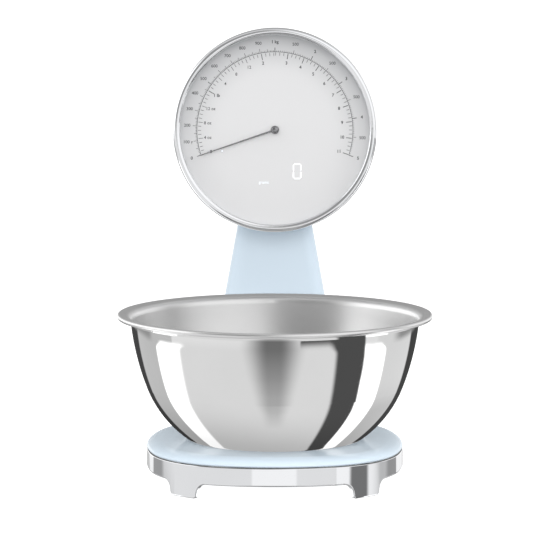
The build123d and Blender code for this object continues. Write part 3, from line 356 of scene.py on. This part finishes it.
# colour, roughness, then what polished() takes: rough_low, rough_high, wave_height, scratch
POLISHED = {
    "chrome": (CHROME, 0.04, *CHROME_FINISH),
    "fastener_steel": (rgb(190, 190, 192), 0.3, 0.22, 0.4, 0.00004, 0.3),
    "bare_aluminium": (rgb(214, 216, 218), 0.35, 0.28, 0.45, 0.00004, 0.4),
    "dark_chrome": (rgb(140, 140, 142), 0.12, 0.08, 0.16, 0.00001, 0.2),
}

materials = {
    "pale_blue": principled("pale_blue", PALE_BLUE, 0.3, extra=BLUE_GLOSS,
                            tree=moulded(PALE_BLUE, *PALE_BLUE_FINISH)),
    "stainless": principled("stainless", STEEL, 0.05, 1.0, tree=spun_steel),
    "dial_print": principled("dial_print", FACE_MIDDLE, 0.45, tree=dial_paper),
    "circuit_board": principled("circuit_board", rgb(20, 86, 48), 0.35, tree=board),
    "battery_wrap": principled("battery_wrap", BATTERY_DARK, 0.28, tree=battery_film),
}
for name, (colour, roughness, *finish) in MOULDED.items():
    materials[name] = principled(name, colour, roughness, tree=moulded(colour, *finish))
for name, (colour, roughness, *finish) in POLISHED.items():
    materials[name] = principled(name, colour, roughness, 1.0, tree=polished(colour, *finish))


def light_pipe(n, shader):
    """Clear white plastic, faintly lit from behind."""
    cloud = n.noise(n.place(), 900, 2.0)
    n.set(shader.inputs["Base Color"], n.mix_colour(cloud, rgb(238, 240, 244), rgb(250, 251, 255)))


materials["light_pipe"] = principled("light_pipe", rgb(244, 246, 250), 0.25, tree=light_pipe,
                                     extra={"Emission Color": rgb(236, 242, 255),
                                            "Emission Strength": 0.35})


GLASS_IOR = 1.45


def clear_glass():
    """Flat pane: what is behind it shows straight through, with a mirror's share at the surface."""
    material = bpy.data.materials.new("dial_glass")
    material.use_nodes = True
    n = Nodes(material.node_tree)
    smear = n.noise(n.place(), 70, 4.0)
    mirror = n.add("ShaderNodeBsdfGlossy", {"Color": (1, 1, 1, 1),
                                            "Roughness": n.ramp(smear, 0.35, 0.7, 0.0, 0.04)})
    clear = n.add("ShaderNodeBsdfTransparent", {"Color": (1, 1, 1, 1)})
    share = n.add("ShaderNodeFresnel", {"IOR": GLASS_IOR}).outputs[0]
    path = n.add("ShaderNodeLightPath").outputs
    inner_side = n.add("ShaderNodeNewGeometry").outputs["Backfacing"]
    for unmirrored in (path["Is Shadow Ray"], path["Is Diffuse Ray"], inner_side):
        share = n.math("MULTIPLY", share, n.math("SUBTRACT", 1.0, unmirrored))
    both = n.add("ShaderNodeMixShader", {"Fac": share})
    n.set(both.inputs[1], clear.outputs[0])
    n.set(both.inputs[2], mirror.outputs[0])
    output = n.add("ShaderNodeOutputMaterial")
    n.set(output.inputs["Surface"], both.outputs[0])
    return material


materials["dial_glass"] = clear_glass()
skirt = principled("skirt_chrome", CHROME, 0.04, 1.0, tree=skirt_chrome)

for row in frame["record"]["subparts"]:
    node = frame["nodes"][row["node"]]
    for material_slot in node.material_slots:
        material_slot.material = materials[row["material_slot"]]
for material_slot in frame["nodes"]["base_ring"].material_slots:
    material_slot.material = skirt


cell = frame["nodes"]["load_cell"]
bending_bar = bpy.data.objects.new("bending_bar", cell.data.copy())
bpy.context.scene.collection.objects.link(bending_bar)
bending_bar.matrix_world = cell.matrix_world.copy()
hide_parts("load_cell")
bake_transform(bending_bar)


# ---------------------------------------------------------------- printed scales
ARC_R = 66.6                                             # mm, in the plane of the dial face
ZERO_ANGLE = 198.8                                       # degrees, anticlockwise from +X
FINE_SWEEP = 108.8                                       # from 0 to 1 kg
COARSE_SWEEP = 27.2                                      # for each further kilogram
POUND = 0.45359237
INK_BASE = 0.0
INK_TOP = 0.03
ARC_HALF_WIDTH = 0.22
FINE = 0.28
THIN = 0.4
BOLD = 0.62


def dial_angle(kilograms):
    """Where a weight is on the dial: a wide first kilogram, then a quarter of that for each."""
    return ZERO_ANGLE - FINE_SWEEP * min(kilograms, 1.0) - COARSE_SWEEP * max(kilograms - 1.0, 0.0)


def on_dial(angle, radius):
    """Point in the dial's plane, in mm, at an angle in degrees."""
    return (radius * math.cos(math.radians(angle)), radius * math.sin(math.radians(angle)))


CAPITAL_SHARE = 0.73                                     # capital height in the font's size


class Print:
    """Collects closed prisms of ink in the dial's plane, in mm."""

    def __init__(self, base=INK_BASE, top=INK_TOP):
        self.base = base
        self.top = top
        self.vertices = []
        self.faces = []

    def prism(self, outline):
        """One prism from an anticlockwise outline."""
        count = len(outline)
        first = len(self.vertices)
        self.vertices += [(x, y, self.base) for x, y in outline]
        self.vertices += [(x, y, self.top) for x, y in outline]
        self.faces.append([first + i for i in reversed(range(count))])
        self.faces.append([first + count + i for i in range(count)])
        for i in range(count):
            j = (i + 1) % count
            self.faces.append([first + i, first + j, first + count + j, first + count + i])

    def tick(self, angle, inner, outer, width):
        """Radial stroke between two radii."""
        along = on_dial(angle, 1)
        across = (-along[1] * width / 2, along[0] * width / 2)
        self.prism([(along[0] * r + s * across[0], along[1] * r + s * across[1])
                    for r, s in ((inner, -1), (outer, -1), (outer, 1), (inner, 1))])

    def arc(self, start, end, inner, outer, steps):
        """Ring segment, drawn as one closed prism."""
        angles = [start + (end - start) * i / steps for i in range(steps + 1)]
        self.prism([on_dial(a, outer) for a in angles]
                   + [on_dial(a, inner) for a in reversed(angles)])

    def text(self, words, centre, height, weight=0.0):
        """Flat lettering centred on a point, with its capital height in mm."""
        curve = bpy.data.curves.new("letters", "FONT")
        curve.body = words
        curve.size = height / CAPITAL_SHARE
        curve.align_x = "CENTER"
        curve.align_y = "CENTER"
        curve.offset = weight
        curve.extrude = (self.top - self.base) / 2
        curve.resolution_u = 4
        letters = bpy.data.objects.new("letters", curve)
        bpy.context.scene.collection.objects.link(letters)
        bpy.context.view_layer.update()
        mesh = bpy.data.meshes.new_from_object(letters)
        first = len(self.vertices)
        middle = (self.base + self.top) / 2
        self.vertices += [(v.co.x + centre[0], v.co.y + centre[1], v.co.z + middle)
                          for v in mesh.vertices]
        self.faces += [[first + i for i in face.vertices] for face in mesh.polygons]
        bpy.data.objects.remove(letters)
        bpy.data.meshes.remove(mesh)
        bpy.data.curves.remove(curve)

    def piece(self, name, material, body=BASE_BODY):
        """Finished object on the dial, riding on its body."""
        mesh = bpy.data.meshes.new(name)
        mesh.from_pydata([Vector(v) * MM for v in self.vertices], [], self.faces)
        mesh.transform(DIAL_MATRIX)
        mesh.materials.append(material)
        mesh.validate()
        made = bpy.data.objects.new(name, mesh)
        bpy.context.scene.collection.objects.link(made)
        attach(made, body)
        return made


INK_DARK = rgb(56, 57, 60)
INK_LIGHT = rgb(72, 73, 76)


def ink(n, shader):
    """Screen-printed ink, a little uneven in density."""
    place = n.place()
    density = n.noise(place, 2600, 3.0)
    n.set(shader.inputs["Base Color"],
          n.mix_colour(n.ramp(density, 0.35, 0.65), INK_DARK, INK_LIGHT))
    n.set(shader.inputs["Roughness"], n.ramp(density, 0.3, 0.7, 0.5, 0.62))


ink_material = principled("dial_ink", INK_DARK, 0.55, tree=ink)

OUTER_LABEL_R = 75.0
INNER_LABEL_R = 57.7
LABEL_HEIGHT = 2.7
HEAVY_WEIGHT = 0.11
LIGHT_WEIGHT = 0.05
ARC_STEPS = 180
TEN_GRAM_TICK = 1.4                                      # tick lengths, mm
FIFTY_GRAM_TICK = 1.3                                    # past the first kilogram
HALF_HUNDRED_TICK = 2.4
HUNDRED_TICK = 3.6
HALF_KILO_TICK = 3.0
KILO_TICK = 4.0
OUNCE_TICK = 2.6
FOUR_OUNCE_TICK = 4.0
FIRST_POUND_TICK = 5.2
OUNCE_GAP = 1.0                                          # from the arc to a tick inside it
QUARTER_POUND_TICK = 2.6
POUND_TICK = 4.8
POUND_GAP = 0.6

metric = Print()
metric.arc(dial_angle(5), dial_angle(0), ARC_R - ARC_HALF_WIDTH, ARC_R + ARC_HALF_WIDTH, ARC_STEPS)
for grams in range(0, 1001, 10):
    metric.tick(dial_angle(grams / 1000), ARC_R, ARC_R + TEN_GRAM_TICK, FINE)
for grams in range(1050, 5001, 50):
    metric.tick(dial_angle(grams / 1000), ARC_R, ARC_R + FIFTY_GRAM_TICK, FINE)
for grams in range(0, 1001, 50):
    length = HUNDRED_TICK if grams % 100 == 0 else HALF_HUNDRED_TICK
    metric.tick(dial_angle(grams / 1000), ARC_R, ARC_R + length, THIN if grams % 500 else BOLD)
for half_kilos in range(3, 11):
    whole = half_kilos % 2 == 0
    metric.tick(dial_angle(half_kilos / 2), ARC_R, ARC_R + (KILO_TICK if whole else HALF_KILO_TICK),
                BOLD if whole else THIN)
labels = {0: "0", 0.1: "100 g", 1: "1 kg"}
labels.update({hundreds / 10: str(100 * hundreds) for hundreds in range(2, 10)})
labels.update({kilos + 0.5: "500" for kilos in range(1, 5)})
labels.update({kilos: str(kilos) for kilos in range(2, 6)})
for kilos, words in labels.items():
    heavy = kilos == int(kilos)
    metric.text(words, on_dial(dial_angle(kilos), OUTER_LABEL_R), LABEL_HEIGHT,
                HEAVY_WEIGHT if heavy else LIGHT_WEIGHT)
metric.piece("dial_scale_metric", ink_material)

imperial = Print()
for ounces in range(0, 36):
    whole = ounces % 16 == 0
    length = FIRST_POUND_TICK if whole else OUNCE_TICK if ounces % 4 else FOUR_OUNCE_TICK
    imperial.tick(dial_angle(ounces / 16 * POUND), ARC_R - OUNCE_GAP - length, ARC_R - OUNCE_GAP,
                  BOLD if whole else THIN)
for quarters in range(9, 45):
    whole = quarters % 4 == 0
    length = POUND_TICK if whole else QUARTER_POUND_TICK
    imperial.tick(dial_angle(quarters / 4 * POUND), ARC_R - POUND_GAP - length, ARC_R - POUND_GAP,
                  BOLD if whole else THIN)
small_labels = {0: "0", 4: "4 oz", 8: "8 oz", 12: "12 oz", 16: "1 lb", 20: "4", 24: "8", 28: "12"}
small_labels.update({16 * pounds: str(pounds) for pounds in range(2, 12)})
for ounces, words in small_labels.items():
    heavy = ounces % 16 == 0
    imperial.text(words, on_dial(dial_angle(ounces / 16 * POUND), INNER_LABEL_R), LABEL_HEIGHT,
                  HEAVY_WEIGHT if heavy else LIGHT_WEIGHT)
imperial.piece("dial_scale_imperial", ink_material)


# ---------------------------------------------------------------- lit digits and unit word
def glowing(n, shader):
    """Lit segment, even to the eye with a faint grain from the diffuser."""
    cloud = n.noise(n.place(), 4000, 2.0)
    n.set(shader.inputs["Base Color"], n.mix_colour(cloud, rgb(246, 249, 255), rgb(255, 255, 255)))


lit = principled("lit_segment", rgb(250, 252, 255), 0.4, tree=glowing,
                 extra={"Emission Color": (1, 1, 1, 1), "Emission Strength": 0.55})
lit_word = principled("lit_word", rgb(225, 240, 255), 0.4, tree=glowing,
                      extra={"Emission Color": rgb(205, 232, 255), "Emission Strength": 0.3})

DIGIT_CENTRE = (19.0, -35.2)
DIGIT_SIZE = (7.2, 13.4)
STROKE = 0.92
GAP = 0.5
WORD_CENTRE = (-9.5, -44.7)
WORD_HEIGHT = 2.6


def seven_segments(centre, size, stroke, which):
    """Outlines of the named segments of one upright digit: a top, then clockwise, g middle."""
    cx, cy = centre
    half_w = size[0] / 2 - stroke / 2
    half_h = size[1] / 2 - stroke / 2
    h = stroke / 2
    corners = {"a": ((-half_w, half_h), (half_w, half_h)), "b": ((half_w, 0), (half_w, half_h)),
               "c": ((half_w, -half_h), (half_w, 0)), "d": ((-half_w, -half_h), (half_w, -half_h)),
               "e": ((-half_w, -half_h), (-half_w, 0)), "f": ((-half_w, 0), (-half_w, half_h)),
               "g": ((-half_w, 0), (half_w, 0))}
    outlines = []
    for name in which:
        (x0, y0), (x1, y1) = corners[name]
        if y0 == y1:
            shape = [(x0 + GAP, y0), (x0 + GAP + h, y0 - h), (x1 - GAP - h, y0 - h), (x1 - GAP, y0),
                     (x1 - GAP - h, y0 + h), (x0 + GAP + h, y0 + h)]
        else:
            shape = [(x0, y0 + GAP), (x0 + h, y0 + GAP + h), (x0 + h, y1 - GAP - h), (x0, y1 - GAP),
                     (x0 - h, y1 - GAP - h), (x0 - h, y0 + GAP + h)]
        outlines.append([(cx + x, cy + y) for x, y in shape])
    return outlines


digit = Print()
for outline in seven_segments(DIGIT_CENTRE, DIGIT_SIZE, STROKE, "abcdef"):
    digit.prism(outline)
digit.piece("display_digit", lit)

word = Print()
word.text("grams", WORD_CENTRE, WORD_HEIGHT)
word.piece("display_unit", lit_word)


# ---------------------------------------------------------------- studio
FLOOR_HALF = 40.0
FLOOR_GLOW = 0.9


def stage_floor():
    """Large pale sweep that the scale stands on."""
    mesh = bpy.data.meshes.new("floor")
    mesh.from_pydata([(x * FLOOR_HALF, y * FLOOR_HALF, 0)
                      for x, y in ((-1, -1), (1, -1), (1, 1), (-1, 1))], [], [(0, 1, 2, 3)])
    floor = bpy.data.objects.new("floor", mesh)
    bpy.context.scene.collection.objects.link(floor)

    def paper(n, shader):
        n.set(shader.inputs["Roughness"], n.ramp(n.noise(n.place(), 40), 0.3, 0.7, 0.85, 0.95))
    mesh.materials.append(principled("floor", (0.5, 0.5, 0.5, 1), 0.9, tree=paper,
                                     extra={"Specular IOR Level": 0.0,
                                            "Emission Color": (1, 1, 1, 1),
                                            "Emission Strength": FLOOR_GLOW}))
    floor.visible_glossy = False
    floor.visible_diffuse = False


stage_floor()

VIEW_LINE = Vector((0, math.cos(CAMERA_PITCH), -math.sin(CAMERA_PITCH)))

# Soft boxes and flags round the scale. Each is placed by the slope of a polished surface that
# mirrors it to someone in front of the scale: azimuth from the front and height, in degrees.
# Later ones cover earlier ones.
# (azimuth from, to, softness), (height from, to, softness), brightness
BEHIND_BOXES = [
    # seen in the sides of the bowl
    ((-200, -71, 3), (-60, -7, 3), 0.07),
    ((69.5, 200, 3), (-60, -7, 3), 0.07),
    ((-71, -45, 1), (-91, -3, 2), 0.70),
    ((45, 70, 2), (-91, -3, 2), 0.93),
    ((45, 70, 2), (-91, -24, 14), 0.70),
]
# seen in the front of the bowl, with round corners
# (azimuth from, to), (height from, to), brightness, softness
ROUND_BOXES = [
    ((-55.4, -35.5), (-120, -8.9), 2.0, 1.0),
    ((30, 50.5), (-120, -8.9), 2.0, 1.0),
    ((10, 38.3), (-120, -6.4), 0.10, 1.0),
    ((-41.4, 25.2), (-120, -8.6), 0.97, 2.4),
]
IN_FRONT_OF_BOXES = [
    # seen in upright faces, such as the chrome skirt
    ((-47, 20, 1), (-4.5, 2.5, 1), 0.92),
    ((-6.3, 6, 0.8), (-4.5, 2.5, 1), 1.12),
    ((20, 28.7, 1), (-4.5, 2.5, 1), 1.13),
    ((28.7, 41, 3), (-4.5, 2.5, 1), 0.21),
    ((49, 57, 7), (-5.5, 0.5, 1), 0.60),
    ((57, 76, 8), (-9, 0.5, 1), 0.36),
    ((-73, -58.5, 4), (-9, 0.5, 1), 0.40),
    ((-95, -73, 4), (-9, 0.5, 1), 0.64),
    # seen in the brushed inside of the bowl
    ((-200, 200, 3), (38, 95, 10), 0.70),
    ((54, 92, 6), (5, 34, 6), 1.25),
    ((40, 52, 6), (5, 34, 6), 0.45),
    ((3, 40, 6), (5, 34, 6), 1.22),
    ((-33, 1, 9), (5, 34, 6), 0.36),
    ((-86, -30, 6), (5, 34, 6), 1.75),
    ((-100, -86, 4), (5, 34, 6), 0.35),
    # seen in level surfaces, such as the platform
    ((-200, 200, 3), (58, 95, 14), 0.42),
]
HEIGHT_STRETCH = 2.1                                     # so that a corner looks round in the bowl
CORNER = 4.2
AMBIENT = 1.05
WALL_LIGHT = 0.70                                        # what matt surfaces see
BACKDROP = 1.0                                           # what the camera sees
STREAK_MIDDLE = -0.4
STREAK_BRIGHTNESS = 0.02


def painted(n, brightness, azimuth, height, panels):
    """brightness with panels laid over it."""
    for (a0, a1, a_soft), (h0, h1, h_soft), value in panels:
        mask = n.math("MULTIPLY", n.band(azimuth, a0, a1, a_soft), n.band(height, h0, h1, h_soft))
        brightness = n.mix(mask, brightness, value)
    return brightness


def painted_round(n, brightness, azimuth, height, panels):
    """brightness with round-cornered panels laid over it."""
    stretched = n.math("MULTIPLY", height, HEIGHT_STRETCH)
    for across, (low, high), value, soft in panels:
        tall = (low * HEIGHT_STRETCH, high * HEIGHT_STRETCH)
        mask = n.rounded(azimuth, stretched, across, tall, CORNER, soft)
        brightness = n.mix(mask, brightness, value)
    return brightness


def studio_world():
    world = bpy.data.worlds.new("studio")
    bpy.context.scene.world = world
    world.use_nodes = True
    n = Nodes(world.node_tree)
    outward = n.add("ShaderNodeTexCoord").outputs["Generated"]
    slope = n.vector("NORMALIZE", n.vector("SUBTRACT", outward, tuple(VIEW_LINE)))
    x, y, z = n.xyz(slope)
    azimuth = n.math("DEGREES", n.math("ARCTAN2", x, n.math("MULTIPLY", y, -1.0)))
    height = n.math("DEGREES", n.math("ARCSINE", z))
    # the lamps stand upright at a finite distance, so they draw together towards the floor
    azimuth = n.math("MULTIPLY", azimuth, n.ramp(height, -60, -19, 1.2, 1.0))
    brightness = painted(n, AMBIENT, azimuth, height, BEHIND_BOXES)
    brightness = painted_round(n, brightness, azimuth, height, ROUND_BOXES)
    brightness = painted(n, brightness, azimuth, height, IN_FRONT_OF_BOXES)
    # the dark gap between the two front lamps narrows and fades towards the floor
    half = n.ramp(height, -28, -9, 4.4, 8.8, smooth=False)
    offset = n.math("DIVIDE", n.math("ABSOLUTE", n.math("SUBTRACT", azimuth, STREAK_MIDDLE)), half)
    streak = n.math("MULTIPLY", n.ramp(offset, 0.25, 1.6, 1.0, 0.0), n.band(height, -60, -5.5, 2))
    depth = n.ramp(height, -37, -8, 0.0, 0.82, smooth=False)
    brightness = n.mix(n.math("MULTIPLY", streak, depth), brightness, STREAK_BRIGHTNESS)
    # the lamps are dimmer towards the floor, and more so to the left
    tilted = n.math("ADD", height, n.math("MULTIPLY", azimuth, 0.12))
    brightness = n.math("MULTIPLY", brightness, n.ramp(tilted, -62, -22, 0.62, 1.0))
    # matt surfaces get less of their light from the walls and more from the lamps, and the
    # camera sees a plain backdrop
    path = n.add("ShaderNodeLightPath").outputs
    brightness = n.mix(path["Is Diffuse Ray"], brightness, WALL_LIGHT)
    brightness = n.mix(path["Is Camera Ray"], brightness, BACKDROP)
    background = n.add("ShaderNodeBackground", {"Strength": 1.0, "Color": brightness})
    output = n.add("ShaderNodeOutputWorld")
    n.set(output.inputs["Surface"], background.outputs[0])


studio_world()


def soft_box(name, place, target, size, power):
    """Square area light aimed at a point, not seen by the camera itself."""
    data = bpy.data.lights.new(name, "AREA")
    data.size = size
    data.energy = power
    lamp = bpy.data.objects.new(name, data)
    bpy.context.scene.collection.objects.link(lamp)
    lamp.location = place
    lamp.rotation_mode = "QUATERNION"
    lamp.rotation_quaternion = (Vector(target) - Vector(place)).to_track_quat("-Z", "Y")
    lamp.visible_camera = False
    lamp.visible_glossy = False


soft_box("key", (-0.5, -0.6, 1.8), (0, 0, 0.15), 1.4, 2.4)
soft_box("front_fill", (0.0, -3.2, 1.1), (0, 0, 0.2), 3.0, 55.0)
soft_box("right_fill", (1.6, -0.4, 1.3), (0, 0, 0.05), 0.8, 8.0)
soft_box("left_fill", (-1.6, -0.4, 1.3), (0, 0, 0.05), 0.8, 3.0)

# only the bowl and the dial head are mirrored in the polished surfaces
MIRRORED = ("mixing_bowl", "dial_bezel", "dial_glass", "dial_face", "pointer_needle")
for name, node in frame["nodes"].items():
    node.visible_glossy = name in MIRRORED
